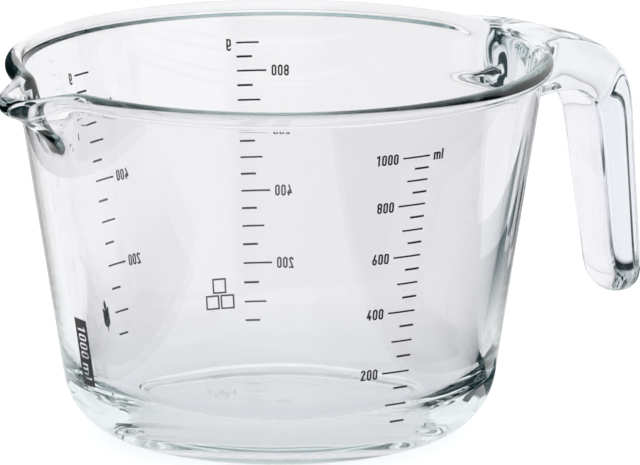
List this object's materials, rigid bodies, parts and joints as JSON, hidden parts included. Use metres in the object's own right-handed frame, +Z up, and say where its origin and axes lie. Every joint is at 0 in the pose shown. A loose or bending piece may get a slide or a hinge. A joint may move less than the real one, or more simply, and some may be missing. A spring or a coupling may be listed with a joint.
{
  "type": "glass measuring jug",
  "caption": "Clear glass kitchen measuring jug with a pouring spout, an open handle hanging from the rim, and printed scales for millilitres and for grams of sugar and flour.",
  "frame": {"origin": "middle of the foot, on the table", "axes": "+X from the bowl's axis to the handle, the spout points to -X, +Z up along the bowl's axis"},
  "size_m": [0.2038, 0.154, 0.1074],
  "materials": {
    "clear_glass": "polished",
    "enamel": "gloss"
  },
  "bodies": {
    "root": {"glass_bowl": "clear_glass", "handle": "clear_glass", "ml_marks": "enamel", "ml_numbers": "enamel", "ml_unit": "enamel", "sugar_marks": "enamel", "sugar_numbers": "enamel", "sugar_unit": "enamel", "sugar_symbol": "enamel", "flour_marks": "enamel", "flour_numbers": "enamel", "flour_unit": "enamel", "flour_symbol": "enamel", "capacity_mark": "enamel"}
  },
  "joints": []
}
